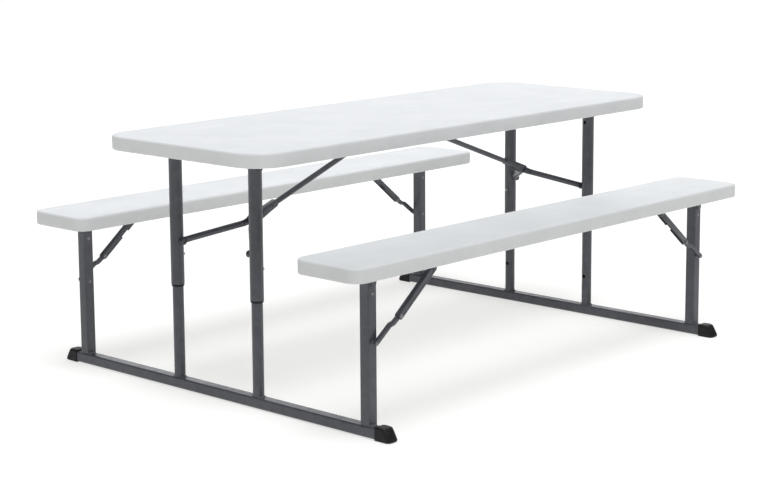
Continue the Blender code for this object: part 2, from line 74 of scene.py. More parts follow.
TOP_LOW, TOP_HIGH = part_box("table_top")
UPPER_LOW, UPPER_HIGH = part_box("upper_table_leg" + Q)
LOWER_LOW, LOWER_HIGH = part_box("lower_table_leg" + Q)
COLLAR_LOW, COLLAR_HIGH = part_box("leg_collar" + Q)
BUTTON_LOW, BUTTON_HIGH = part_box("snap_button" + Q)
BENCH_LEG_LOW, BENCH_LEG_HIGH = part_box("bench_leg" + Q)
RAIL_LOW, RAIL_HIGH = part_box("base_rail_right")
CAP_LOW, CAP_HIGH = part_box("foot_cap" + Q)
ARM_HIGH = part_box("wishbone_arm" + Q)[1]
CHANNEL_LOW, CHANNEL_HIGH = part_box("bench_brace_channel" + Q)

# Heights at which the braces end on the legs. These pivots are open, so the record has no joint there.
WISHBONE_FOOT_Z = 0.427
BENCH_BRACE_FOOT_Z = 0.253

FRAME_X = centre("base_rail_right").x
TABLE_LEG_Y = (UPPER_LOW.y + UPPER_HIGH.y) / 2
UPPER_RADIUS = (UPPER_HIGH.y - UPPER_LOW.y) / 2
LOWER_RADIUS = (LOWER_HIGH.y - LOWER_LOW.y) / 2
WALL = 0.0015
CLEARANCE = 0.0003
BUTTON_Z = (BUTTON_LOW.z + BUTTON_HIGH.z) / 2
BUTTON_RADIUS = (BUTTON_HIGH.z - BUTTON_LOW.z) / 2
BENCH_LEG_Y = BENCH_LEG_LOW.y + (BENCH_LEG_HIGH.x - BENCH_LEG_LOW.x) / 2
SEAT_HINGE_Z = joint("fold").z
DROP = next(j["range_m"][1] for j in frame["joints"] if j["name"] == "table_slide")

BRACE_TOP = joint("right_brace_pivot")
BRACE_ELBOW = joint("right_wishbone_pivot")
BENCH_TOP = joint("right_bench_brace_pivot")
BENCH_ELBOW = joint("right_bench_link_pivot")
BENCH_BRACE_MIDDLE = Vector((0, (CHANNEL_LOW.y + CHANNEL_HIGH.y) / 2, 0))


# Mesh helpers ------------------------------------------------------------------------------------------


def arc(cx, cy, radius, start, end, steps):
    angles = [math.radians(start + (end - start) * i / steps) for i in range(steps + 1)]
    return [(cx + radius * math.cos(a), cy + radius * math.sin(a)) for a in angles]


def circle(radius, sides, cx=0.0, cy=0.0):
    return arc(cx, cy, radius, 0, 360, sides)[:-1]


def rounded_rectangle(length, width, radius, steps, inset=0.0):
    cx, cy = length / 2 - radius, width / 2 - radius
    points = []
    for sx, sy, start in ((1, 1, 0), (-1, 1, 90), (-1, -1, 180), (1, -1, 270)):
        points += arc(sx * cx, sy * cy, radius - inset, start, start + 90, steps)
    return points


def add_loft(bm, rings, first=True, last=True, ring_closed=False):
    """Adds a skin through rings of equal length, with a face over the first and the last if asked."""
    rows = [[bm.verts.new(p) for p in ring] for ring in rings]
    pairs = list(zip(rows, rows[1:]))
    if ring_closed:
        pairs.append((rows[-1], rows[0]))
    for a, b in pairs:
        for i in range(len(a)):
            j = (i + 1) % len(a)
            bm.faces.new((a[i], b[i], b[j], a[j]))
    if not ring_closed:
        if first:
            bm.faces.new(rows[0])
        if last:
            bm.faces.new(reversed(rows[-1]))
    return rows


def to_mesh(bm):
    bmesh.ops.recalc_face_normals(bm, faces=bm.faces)
    mesh = bpy.data.meshes.new("mesh")
    bm.to_mesh(mesh)
    bm.free()
    return mesh


def loft(rings, first=True, last=True, ring_closed=False):
    bm = bmesh.new()
    add_loft(bm, rings, first, last, ring_closed)
    return to_mesh(bm)


def lathe(profile, sides=48, ring_closed=False):
    """Turned about Z from (radius, z) points."""
    return loft([[(x, y, z) for x, y in circle(r, sides)] for r, z in profile], ring_closed=ring_closed)


def prism(outline, low, high, axis="Y"):
    place = {
        "X": lambda a, b, d: (d, a, b),
        "Y": lambda a, b, d: (a, d, b),
        "Z": lambda a, b, d: (a, b, d),
    }[axis]
    return loft([[place(a, b, d) for a, b in outline] for d in (low, high)])


def box(x, y, z):
    return prism([(x[0], y[0]), (x[1], y[0]), (x[1], y[1]), (x[0], y[1])], z[0], z[1], "Z")


def moved(mesh, matrix):
    mesh.transform(matrix)
    return mesh


def joined(*meshes):
    """One mesh made of several, which may overlap."""
    bm = bmesh.new()
    for mesh in meshes:
        bm.from_mesh(mesh)
    out = bpy.data.meshes.new("joined")
    bm.to_mesh(out)
    bm.free()
    return out


def boolean(base, operation, *tools):
    for tool in tools:
        objects = [bpy.data.objects.new("tool", m) for m in (base, tool)]
        for obj in objects:
            bpy.context.scene.collection.objects.link(obj)
        modifier = objects[0].modifiers.new("boolean", "BOOLEAN")
        modifier.operation = operation
        modifier.solver = "EXACT"
        modifier.object = objects[1]
        depsgraph = bpy.context.evaluated_depsgraph_get()
        base = bpy.data.meshes.new_from_object(objects[0].evaluated_get(depsgraph))
        for obj in objects:
            bpy.data.objects.remove(obj)
    return base


def cut(base, *tools):
    return boolean(base, "DIFFERENCE", *tools)


def bevelled(mesh, width, segments=2, angle=35):
    """The mesh with its sharp edges rounded."""
    obj = bpy.data.objects.new("bevel", mesh)
    bpy.context.scene.collection.objects.link(obj)
    modifier = obj.modifiers.new("bevel", "BEVEL")
    modifier.width = width
    modifier.segments = segments
    modifier.limit_method = "ANGLE"
    modifier.angle_limit = math.radians(angle)
    modifier.use_clamp_overlap = True
    depsgraph = bpy.context.evaluated_depsgraph_get()
    out = bpy.data.meshes.new_from_object(obj.evaluated_get(depsgraph))
    bpy.data.objects.remove(obj)
    return out


def tube(outer, inner, low, high, edge=0.0005):
    """Open tube along Z between two outlines, with its end edges eased."""
    rings = []
    for outline, z in (
        (outer(edge), low),
        (outer(0), low + edge),
        (outer(0), high - edge),
        (outer(edge), high),
        (inner, high),
        (inner, low),
    ):
        rings.append([(x, y, z) for x, y in outline])
    return loft(rings, ring_closed=True)


def round_tube(radius, low, high, sides=64):
    return tube(lambda e: circle(radius - e, sides), circle(radius - WALL, sides), low, high)


def box_tube(width, depth, corner, low, high):
    return tube(
        lambda inset: rounded_rectangle(width, depth, corner, 6, inset),
        rounded_rectangle(width, depth, corner, 6, WALL),
        low,
        high,
    )


def cylinder(radius, low, high, axis="Z", sides=32, at=(0, 0)):
    return prism(circle(radius, sides, *at), low, high, axis)


def rivet(radius, height, sides=28):
    """Domed head on a thin flange. It stands on z = 0."""
    profile = [(radius, 0), (radius, height * 0.18), (radius * 0.97, height * 0.26)]
    for angle in (15, 30, 45, 60, 75):
        a = math.radians(angle)
        profile.append((radius * 0.9 * math.cos(a), height * (0.26 + 0.74 * math.sin(a))))
    profile.append((radius * 0.08, height))
    return lathe(profile, sides)


def along_x(sign):
    """Turns +Z into +X or -X."""
    return Matrix.Rotation(math.radians(90 * sign), 4, "Y")


def along_y(sign):
    """Turns +Z into +Y or -Y."""
    return Matrix.Rotation(math.radians(-90 * sign), 4, "X")


def tilt(start, end):
    """Turns +X into the direction from one joint to the other, in the XZ plane."""
    return Matrix.Rotation(-math.atan2(end.z - start.z, end.x - start.x), 4, "Y")


# Materials ---------------------------------------------------------------------------------------------


def wire(tree, *pairs):
    for source, target in pairs:
        tree.links.new(source, target)


def noise_of(tree, coords, scale, detail=3.0, roughness=0.55, stretch=None):
    """Noise texture on the piece's own coordinates, stretched along one axis if asked."""
    if stretch:
        mapping = tree.nodes.new("ShaderNodeMapping")
        mapping.inputs["Scale"].default_value = stretch
        wire(tree, (coords, mapping.inputs["Vector"]))
        coords = mapping.outputs["Vector"]
    texture = tree.nodes.new("ShaderNodeTexNoise")
    texture.inputs["Scale"].default_value = scale
    texture.inputs["Detail"].default_value = detail
    texture.inputs["Roughness"].default_value = roughness
    wire(tree, (coords, texture.inputs["Vector"]))
    return texture.outputs["Fac"]


def ramp(tree, source, low, high, from_low=0.35, from_high=0.65):
    """Maps a value to a range."""
    node = tree.nodes.new("ShaderNodeMapRange")
    node.inputs["From Min"].default_value = from_low
    node.inputs["From Max"].default_value = from_high
    node.inputs["To Min"].default_value = low
    node.inputs["To Max"].default_value = high
    wire(tree, (source, node.inputs["Value"]))
    return node.outputs["Result"]


def mixed(tree, factor, a, b):
    """Colour between two, each a colour or a socket."""
    node = tree.nodes.new("ShaderNodeMix")
    node.data_type = "RGBA"
    wire(tree, (factor, node.inputs["Factor"]))
    for value, socket in ((a, node.inputs[6]), (b, node.inputs[7])):
        if isinstance(value, tuple):
            socket.default_value = (*value, 1)
        else:
            wire(tree, (value, socket))
    return node.outputs[2]


def bumped(tree, layers):
    """Chain of bumps from (height, strength, distance) layers."""
    normal = None
    for height, strength, distance in layers:
        node = tree.nodes.new("ShaderNodeBump")
        node.inputs["Strength"].default_value = strength
        node.inputs["Distance"].default_value = distance
        wire(tree, (height, node.inputs["Height"]))
        if normal:
            wire(tree, (normal, node.inputs["Normal"]))
        normal = node.outputs["Normal"]
    return normal


def start_material(name, metallic=0.0, specular=0.5):
    made = bpy.data.materials.new(name)
    made.use_nodes = True
    tree = made.node_tree
    shader = tree.nodes["Principled BSDF"]
    shader.inputs["Metallic"].default_value = metallic
    shader.inputs["Specular IOR Level"].default_value = specular
    coords = tree.nodes.new("ShaderNodeTexCoord").outputs["Object"]
    return made, tree, shader, coords


def set_surface(tree, shader, colour, roughness, normal):
    wire(
        tree,
        (colour, shader.inputs["Base Color"]),
        (roughness, shader.inputs["Roughness"]),
        (normal, shader.inputs["Normal"]),
    )


def slab_plastic(name="slab_plastic", tone_and_painted_shade=0.965):
    """White blow-moulded polyethylene: fine leather grain, soft waviness, faint rubs and dust."""
    made, tree, shader, coords = start_material(name, specular=0.34)
    # The factor scales all three colours: the table keeps its own tone, and the darker seat copy is painted
    # shade.
    cool, pale, rubbed = (
        tuple(c * tone_and_painted_shade for c in colour)
        for colour in ((0.728, 0.738, 0.741), (0.768, 0.776, 0.778), (0.690, 0.690, 0.680))
    )
    mottle = noise_of(tree, coords, 9, 4)
    rubs = noise_of(tree, coords, 60, 5, 0.6, stretch=(0.25, 2.4, 1))
    grain = noise_of(tree, coords, 950, 2, 0.5)
    pebble = tree.nodes.new("ShaderNodeTexVoronoi")
    pebble.inputs["Scale"].default_value = 520
    pebble.feature = "SMOOTH_F1"
    wire(tree, (coords, pebble.inputs["Vector"]))
    wave = noise_of(tree, coords, 11, 2)
    base = mixed(tree, ramp(tree, mottle, 0, 1), cool, pale)
    worn = mixed(tree, ramp(tree, rubs, 0, 0.5, 0.60, 0.78), base, rubbed)
    roughness = ramp(tree, rubs, 0.40, 0.56)
    relief = [(wave, 0.25, 0.0012), (pebble.outputs["Distance"], 0.35, 0.0004), (grain, 0.2, 0.0002)]
    set_surface(tree, shader, worn, roughness, bumped(tree, relief))
    return made


def coated_steel(name="coated_steel", dark=(0.056, 0.059, 0.071), light=(0.077, 0.081, 0.097)):
    """Dark grey powder coat: orange peel, slight haze, and faint rubs along the tubes."""
    made, tree, shader, coords = start_material(name, specular=0.5)
    cloud = noise_of(tree, coords, 35, 4)
    rubs = noise_of(tree, coords, 120, 4, 0.6, stretch=(1, 1, 0.12))
    peel = noise_of(tree, coords, 900, 2, 0.45)
    fine = noise_of(tree, coords, 2600, 1, 0.4)
    base = mixed(tree, ramp(tree, cloud, 0, 1), dark, light)
    worn = mixed(tree, ramp(tree, rubs, 0, 0.35, 0.62, 0.8), base, (0.13, 0.13, 0.135))
    roughness = ramp(tree, cloud, 0.28, 0.40)
    set_surface(tree, shader, worn, roughness, bumped(tree, [(peel, 0.3, 0.0003), (fine, 0.15, 0.0001)]))
    return made


def plated_steel():
    """Zinc plate: blotchy brightness and fine scratches."""
    made, tree, shader, coords = start_material("plated_steel", metallic=1.0)
    blotch = noise_of(tree, coords, 260, 4)
    scratch = noise_of(tree, coords, 700, 3, 0.6, stretch=(1, 0.1, 1))
    base = mixed(tree, ramp(tree, blotch, 0, 1), (0.36, 0.36, 0.35), (0.56, 0.56, 0.57))
    roughness = ramp(tree, blotch, 0.26, 0.46)
    set_surface(tree, shader, base, roughness, bumped(tree, [(scratch, 0.25, 0.0001)]))
    return made


def black_plastic():
    """Black polypropylene: fine spark-eroded texture with scuffs."""
    made, tree, shader, coords = start_material("black_plastic", specular=0.32)
    scuffs = noise_of(tree, coords, 90, 5, 0.65)
    texture = noise_of(tree, coords, 1500, 2, 0.5)
    worn = ramp(tree, scuffs, 0, 1, 0.45, 0.75)
    base = mixed(tree, worn, (0.0045, 0.0045, 0.0055), (0.013, 0.013, 0.014))
    roughness = ramp(tree, scuffs, 0.44, 0.62)
    set_surface(tree, shader, base, roughness, bumped(tree, [(texture, 0.35, 0.0003)]))
    return made


MATERIALS = {
    "slab_plastic": slab_plastic(),
    "coated_steel": coated_steel(),
    "plated_steel": plated_steel(),
    "black_plastic": black_plastic(),
}
WELD = coated_steel("weld_coat", (0.085, 0.088, 0.096), (0.13, 0.133, 0.142))
# Darker copy of the slab plastic for the seats: painted shade, since the seats are the same plastic in less
# light.
SEAT_PAINTED_SHADE = slab_plastic("seat_plastic_painted_shade", 0.93)
RIVET = coated_steel("rivet_coat", (0.17, 0.17, 0.175), (0.24, 0.24, 0.245))


# Placing pieces ----------------------------------------------------------------------------------------


def add(name, mesh, body, slot, nodes=(), look=None, sharp=38):
    """Links the mesh as a piece of its body. It replaces the CAD nodes, or adds detail if there are none."""
    mesh.materials.clear()
    mesh.materials.append(look or MATERIALS[slot])
    mesh.shade_smooth()
    mesh.set_sharp_from_angle(angle=math.radians(sharp))
    obj = bpy.data.objects.new(name, mesh)
    bpy.context.scene.collection.objects.link(obj)
    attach(obj, body)
    if nodes:
        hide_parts(*nodes)
    return obj


def mirrored(mesh, sx, sy):
    copy = mesh.copy()
    copy.transform(Matrix.Diagonal((sx, sy, 1, 1)))
    if sx * sy < 0:
        copy.flip_normals()
    return copy


def quarters(name, mesh, body, slot, node=None, **options):
    """The mesh in all four quarters. Body is a pattern with {end} and {side} in it."""
    for end, sx in ENDS:
        for side, sy in SIDES:
            where = f"_{end}_{side}"
            nodes = (node + where,) if node else ()
            rides = body.format(end=end, side=side)
            add(name + where, mirrored(mesh, sx, sy), rides, slot, nodes, **options)


def halves(name, mesh, body, slot, node=None, **options):
    """The mesh at both ends."""
    for end, sx in ENDS:
        nodes = (f"{node}_{end}",) if node else ()
        add(f"{name}_{end}", mirrored(mesh, sx, 1), body.format(end=end), slot, nodes, **options)


# Slabs -------------------------------------------------------------------------------------------------


TABLE_CORNER, SEAT_CORNER = 0.096, 0.040
PANEL_DEPTH = 0.016
TOP_FILLET, BOTTOM_FILLET = 0.0062, 0.0035
CORNER_STEPS = 14
OVAL_SIDES = 14

# Dimples under a slab: columns, lines, pitch along X, pitch along Y, half length, half width.
TABLE_DIMPLES = (23, 9, 0.072, 0.062, 0.021, 0.015)
SEAT_DIMPLES = (23, 3, 0.072, 0.058, 0.021, 0.014)


def slab(low, high, corner, dimples, clear):
    """Moulded tray: eased edges, a rim, and a panel with dimples in its underside.

    No dimple touches an area in clear, given as (x, y, half length, half width) and mirrored in x.
    """
    length, width = high.x - low.x, high.y - low.y
    mid_y = (low.y + high.y) / 2
    panel = high.z - PANEL_DEPTH

    def ring(inset, z):
        outline = rounded_rectangle(length, width, corner, CORNER_STEPS, inset)
        return [(x, y + mid_y, z) for x, y in outline]

    # From the top face over the edge to the rim, and up the wall of the recess to the panel.
    rings = [ring(0.012, high.z), ring(TOP_FILLET + 0.001, high.z)]
    for i in range(7):
        a = math.radians(90 * i / 6)
        rings.append(ring(TOP_FILLET * (1 - math.sin(a)), high.z - TOP_FILLET * (1 - math.cos(a))))
    rings += [ring(0.0002, low.z + 0.022), ring(0.0004, low.z + BOTTOM_FILLET + 0.002)]
    for i in range(5):
        a = math.radians(90 * i / 4)
        inset = 0.0005 + BOTTOM_FILLET * (1 - math.cos(a))
        rings.append(ring(inset, low.z + BOTTOM_FILLET * (1 - math.sin(a))))
    rings += [ring(0.0165, low.z), ring(0.0186, low.z + 0.0006), ring(0.0198, low.z + 0.0024)]
    rings += [ring(0.0225, panel - 0.004), ring(0.0236, panel - 0.0012), ring(0.0262, panel)]
    bm = bmesh.new()
    rows = add_loft(bm, rings, first=True, last=False)

    columns, lines, pitch_x, pitch_y, half_x, half_y = dimples

    def covered(x, y):
        return any(abs(abs(x) - cx) < rx + half_x and abs(y - cy) < ry + half_y for cx, cy, rx, ry in clear)

    ovals = []
    for i in range(columns):
        for j in range(lines):
            x = (i - (columns - 1) / 2) * pitch_x + (pitch_x / 2 if j % 2 else 0) - pitch_x / 4
            y = (j - (lines - 1) / 2) * pitch_y + mid_y
            if not covered(x, y):
                ovals.append((x, y))

    # The panel is a flat mesh between its outline and the ovals.
    rim = list(rows[-1])
    points = [Vector(v.co.xy) for v in rim]
    edges = [(i, (i + 1) % len(rim)) for i in range(len(rim))]
    for x, y in ovals:
        first = len(points)
        points += [Vector((x + half_x * a, y + half_y * b)) for a, b in circle(1, OVAL_SIDES)]
        edges += [(first + i, first + (i + 1) % OVAL_SIDES) for i in range(OVAL_SIDES)]
    triangles = geometry.delaunay_2d_cdt(points, edges, [], 1, 1e-7)[2]
    verts = rim + [bm.verts.new((p.x, p.y, panel)) for p in points[len(rim) :]]
    for triangle in triangles:
        c = sum((points[i] for i in triangle), Vector((0, 0))) / len(triangle)
        if not any(((c.x - x) / half_x) ** 2 + ((c.y - y) / half_y) ** 2 < 0.95 for x, y in ovals):
            bm.faces.new([verts[i] for i in triangle])

    # Each oval sinks into the panel in three steps.
    for k, (x, y) in enumerate(ovals):
        start = len(rim) + k * OVAL_SIDES
        loop = verts[start : start + OVAL_SIDES]
        for share, depth in ((0.93, 0.0012), (0.72, 0.0062), (0.50, 0.0085)):
            inner = [
                bm.verts.new((x + half_x * share * a, y + half_y * share * b, panel + depth))
                for a, b in circle(1, OVAL_SIDES)
            ]
            for i in range(OVAL_SIDES):
                j = (i + 1) % OVAL_SIDES
                bm.faces.new((loop[i], inner[i], inner[j], loop[j]))
            loop = inner
        bm.faces.new(loop)
    return to_mesh(bm)


def build_slabs():
    """Table top and seats. Their dimples keep clear of what is screwed on below."""
    bracket_room, anchor_room = (0.034, 0.050), (0.024, 0.040)
    anchor_x = 0.035
    clear = (
        (FRAME_X, TABLE_LEG_Y, *bracket_room),
        (FRAME_X, -TABLE_LEG_Y, *bracket_room),
        (anchor_x, 0, *anchor_room),
    )
    mesh = slab(TOP_LOW, TOP_HIGH, TABLE_CORNER, TABLE_DIMPLES, clear)
    add("top_moulding", mesh, "table", "slab_plastic", ("table_top",), sharp=50)

    plate_low, plate_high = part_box("bench_hinge_plate" + Q)
    cx, rx = (plate_low.x + plate_high.x) / 2, (plate_high.x - plate_low.x) / 2 + 0.006
    cy, ry = (plate_low.y + plate_high.y) / 2, (plate_high.y - plate_low.y) / 2 + 0.002
    for side, sy in SIDES:
        low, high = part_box("bench_seat_" + side)
        mesh = slab(low, high, SEAT_CORNER, SEAT_DIMPLES, ((cx, sy * cy, rx, ry),))
        nodes = (f"bench_seat_{side}",)
        # The seats get the darker copy of the plastic, which is painted shade.
        add(f"seat_moulding_{side}", mesh, "benches", "slab_plastic", nodes, look=SEAT_PAINTED_SHADE, sharp=50)


# End frames --------------------------------------------------------------------------------------------


def bead(points, radius, seed):
    """Weld bead along points, with ripples. It is half sunk in what it joins."""
    rng = random.Random(seed)
    up = Vector((0, 0, 1))
    rings = []
    total = len(points) - 1
    for i, point in enumerate(points):
        before, after = points[max(i - 1, 0)], points[min(i + 1, total)]
        ahead = (Vector(after) - Vector(before)).normalized()
        side = ahead.cross(up).normalized()
        taper = min(1.0, 0.35 + min(i, total - i) * 0.3)
        size = radius * taper * (1 + 0.16 * math.sin(i * 2.1) + rng.uniform(-0.05, 0.05))
        rings.append([tuple(Vector(point) + side * x * size + up * z * size) for x, z in circle(1, 10)])
    return loft(rings)


def table_legs():
    """Telescopic legs: both tubes, the bush between them, the snap button and the weld at the foot."""
    at = Matrix.Translation((FRAME_X, TABLE_LEG_Y, 0))
    upper_hole, lower_hole = 0.0051, 0.0056

    def hole(z, radius):
        """Tool for a button hole, on the tube's side that faces the middle of the table."""
        return cylinder(radius, -0.03, 0, "X", 32, (0, z))

    upper = round_tube(UPPER_RADIUS, UPPER_LOW.z, UPPER_HIGH.z)
    pit = lathe([(0.0002, -0.004), (0.0035, -0.0022), (0.0045, 0), (0.0035, 0.002), (0.0002, 0.004)], 24)
    place = Matrix.Translation((-UPPER_RADIUS - 0.0028, 0, UPPER_LOW.z + 0.025))
    pit = moved(pit, place @ along_x(1))
    upper = cut(upper, hole(BUTTON_Z, upper_hole), hole(BUTTON_Z + DROP, upper_hole), pit)
    quarters("upper_leg_tube", moved(upper, at), "{end}_upper_legs", "coated_steel", "upper_table_leg")

    lower = round_tube(LOWER_RADIUS, LOWER_LOW.z, LOWER_HIGH.z)
    lower = cut(lower, hole(BUTTON_Z, lower_hole), hole(BUTTON_Z - DROP, lower_hole))
    quarters("lower_leg_tube", moved(lower, at), "{end}_frame", "coated_steel", "lower_table_leg")

    bore, skin = LOWER_RADIUS + CLEARANCE, UPPER_RADIUS - WALL - CLEARANCE
    lip = COLLAR_HIGH.y - TABLE_LEG_Y
    z0, z1, z2 = COLLAR_LOW.z, UPPER_LOW.z - CLEARANCE, COLLAR_HIGH.z
    profile = [(bore, z0 + 0.0004), (bore + 0.0005, z0), (lip - 0.0012, z0), (lip, z0 + 0.0012)]
    profile += [(lip, z1 - 0.0006), (lip - 0.0006, z1), (skin, z1), (skin, z2), (bore, z2)]
    bush = moved(lathe(profile, 64, ring_closed=True), at)
    quarters("leg_bush", bush, "{end}_upper_legs", "black_plastic", "leg_collar")

    r, dome = BUTTON_RADIUS, 0.0034
    x0, x1 = FRAME_X - BUTTON_HIGH.x, FRAME_X - BUTTON_LOW.x
    profile = [(r, x0), (r, x1 - dome)]
    for angle in (20, 40, 60, 78):
        a = math.radians(angle)
        profile.append((r * math.cos(a), x1 - dome + dome * math.sin(a)))
    profile.append((0.0003, x1))
    place = Matrix.Translation((FRAME_X, TABLE_LEG_Y, BUTTON_Z))
    button = moved(lathe(profile, 32), place @ along_x(-1))
    quarters("button_cap", button, "{end}_{side}_button", "plated_steel", "snap_button")

    welds = []
    for k, start in enumerate((40, 220)):
        ring = arc(0, 0, LOWER_RADIUS + 0.0006, start, start + 100, 22)
        welds.append(bead([(x, y, RAIL_HIGH.z + 0.0003) for x, y in ring], 0.0028, 3 + k))
    quarters("leg_weld", moved(joined(*welds), at), "{end}_frame", "coated_steel", look=WELD)


def base_rails():
    width, height = RAIL_HIGH.x - RAIL_LOW.x, RAIL_HIGH.z - RAIL_LOW.z
    mid = (RAIL_HIGH.z + RAIL_LOW.z) / 2
    half = (RAIL_HIGH.y - RAIL_LOW.y) / 2
    rail = box_tube(width, height, 0.0045, -half, half)
    turn = Matrix.Translation((FRAME_X, 0, mid)) @ Matrix.Rotation(math.radians(90), 4, "X")
    halves("rail_tube", moved(rail, turn), "{end}_frame", "coated_steel", "base_rail")


def foot_caps():
    """Shoe lofted upwards: a close sleeve round the rail, and a rounded nose that leans in at its top."""
    y0, length = CAP_LOW.y, CAP_HIGH.y - CAP_LOW.y
    half, top = (CAP_HIGH.x - CAP_LOW.x) / 2, CAP_HIGH.z

    def outline(inset, end):
        """Half of the plan: back corner, straight side, superellipse nose."""
        side, nose = half - inset, 0.0130
        right = [(side - 0.0012, 0.0), (side, 0.0012)] + [(side, (end - nose) * i / 6) for i in range(1, 7)]
        for angle in range(9, 91, 9):
            a = math.radians(angle)
            right.append((side * max(math.cos(a), 0.0) ** 0.62, end - nose + nose * math.sin(a) ** 0.80))
        right[-1] = (side * 0.03, end)
        return right + [(-x, y) for x, y in reversed(right)]

    # Levels from the ground up: height, inset of the sides, and end of the nose.
    sole, lean_top, lean_back = 0.0055, top - 0.0065, 0.0145
    levels = [
        (0.0, 0.0022, length - 0.0052),
        (0.0004, 0.0012, length - 0.0036),
        (0.0013, 0.0004, length - 0.0017),
        (0.0028, 0.0001, length - 0.0005),
        (sole, 0.0, length),
    ]
    for i in range(1, 7):
        z = sole + (lean_top - sole) * i / 6
        levels.append((z, 0.0, length - lean_back * (i / 6) ** 1.12))
    levels += [
        (top - 0.0044, 0.0002, length - 0.0155),
        (top - 0.0026, 0.0009, length - 0.0170),
        (top - 0.0012, 0.0020, length - 0.0188),
        (top - 0.0003, 0.0036, length - 0.0208),
        (top, 0.0056, length - 0.0235),
    ]
    rings = []
    for z, inset, end in levels:
        dip = 0.0010 * max(0.0, (z / top - 0.6) / 0.4)
        rings.append([(x, y + y0, z - dip * max(0.0, 1 - y / 0.010)) for x, y in outline(inset, end)])
    socket_x = RAIL_HIGH.x - FRAME_X + CLEARANCE
    socket = box(
        (-socket_x, socket_x),
        (y0 - 0.01, RAIL_HIGH.y + 0.0005),
        (RAIL_LOW.z - CLEARANCE, RAIL_HIGH.z + CLEARANCE),
    )
    shoe = moved(cut(loft(rings), socket), Matrix.Translation((FRAME_X, 0, 0)))
    quarters("foot_shoe", shoe, "{end}_frame", "black_plastic", "foot_cap", sharp=45)


def bench_legs():
    size = BENCH_LEG_HIGH.x - BENCH_LEG_LOW.x
    at = Matrix.Translation((FRAME_X, BENCH_LEG_Y, 0))
    leg = box_tube(size, size, 0.0034, BENCH_LEG_LOW.z, BENCH_LEG_HIGH.z)
    leg = cut(leg, cylinder(0.0058, -0.03, 0.03, "Y", 32, (0, SEAT_HINGE_Z)))
    quarters("bench_leg_tube", moved(leg, at), "{end}_frame", "coated_steel", "bench_leg")

    stud_z, rivet_z = BENCH_BRACE_FOOT_Z, BENCH_BRACE_FOOT_Z + 0.130

    def on_leg(mesh, side, z):
        """Stands the mesh on the face of the leg on that side."""
        return moved(mesh, Matrix.Translation((FRAME_X, BENCH_LEG_Y + side * size / 2, z)) @ along_y(side))

    boss = [(0.006, 0), (0.006, 0.0021), (0.0055, 0.0026)]
    boss += [(0.0036, 0.0026), (0.0036, 0.0057), (0.0032, 0.0059)]
    heads = [on_leg(lathe(boss, 32), 1, stud_z)]
    for side, z in ((-1, rivet_z), (-1, stud_z), (1, rivet_z)):
        heads.append(on_leg(rivet(radius=0.0052, height=0.0022), side, z))
    quarters("bench_leg_rivets", joined(*heads), "{end}_frame", "coated_steel", look=RIVET)

    reach = size / 2 - 0.003
    welds = []
    for k, side in enumerate((-1, 1)):
        y, z = side * (size / 2 + 0.0004), RAIL_HIGH.z + 0.0004
        line = [(-reach + 2 * reach * i / 16, y, z) for i in range(17)]
        welds.append(bead(line, 0.0034, 11 + k))
    quarters("bench_leg_weld", moved(joined(*welds), at), "{end}_frame", "coated_steel", look=WELD)


# Table brace -------------------------------------------------------------------------------------------


def table_braces():
    """Long tube, the channel at its lower end, and the pin through the elbow."""
    turn = tilt(BRACE_TOP, BRACE_ELBOW)
    length = (BRACE_ELBOW - BRACE_TOP).length
    rise, radius = 0.005, 0.008
    slope = math.asin(rise / length)
    long_tube = round_tube(radius, -0.011, length - 0.016, 56)
    long_tube = moved(long_tube, Matrix.Rotation(math.radians(90) - slope, 4, "Y"))
    long_tube = cut(long_tube, cylinder(0.0048, -0.02, 0.02, "Y", 28))
    long_tube = moved(long_tube, Matrix.Translation(BRACE_TOP) @ turn)
    halves("brace_long_tube", long_tube, "{end}_brace", "coated_steel", "brace_tube")

    half, width, wall = 0.0100, 0.0105, 0.002
    cover = radius + 0.0002 + wall

    def axis_at(x):
        return rise + x * math.tan(slope)

    top = [(x, axis_at(x) + cover) for x in (-0.004, -0.105)]
    bottom = [(-0.105, axis_at(-0.105) - radius + 0.003), (-0.101, axis_at(-0.101) - radius)]
    bottom += [(-0.070, axis_at(-0.070) - 0.0105), (-0.035, -half)]
    shell = prism(top + bottom + arc(0.005, 0, half, -90, 75, 18), -width, width)
    roof = [(x, axis_at(x) + cover - wall) for x in (0.1, -0.2)] + [(-0.2, -0.04), (0.1, -0.04)]
    shell = cut(shell, prism(roof, wall - width, width - wall), cylinder(0.0051, -0.02, 0.02, "Y", 28))
    shell = bevelled(shell, 0.0007, 2)
    heads = []
    for along in (-0.045, -0.085):
        for side in (-1, 1):
            place = Matrix.Translation((along, side * width, axis_at(along)))
            heads.append(moved(rivet(radius=0.0045, height=0.0018), place @ along_y(side)))
    channel = moved(joined(shell, *heads), Matrix.Translation(BRACE_ELBOW) @ turn)
    halves("brace_elbow_channel", channel, "{end}_brace", "coated_steel", "brace_channel")

    reach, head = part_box("elbow_pin_right")[1].y, 0.0026
    pin = [cylinder(0.0045, -reach + 0.001, reach - 0.001, "Y", 28)]
    for side in (-1, 1):
        place = Matrix.Translation((0, side * (reach - head), 0))
        pin.append(moved(rivet(radius=0.0075, height=head), place @ along_y(side)))
    pin = moved(joined(*pin), Matrix.Translation(BRACE_ELBOW))
    halves("elbow_rivet", pin, "{end}_wishbone", "coated_steel", "elbow_pin")


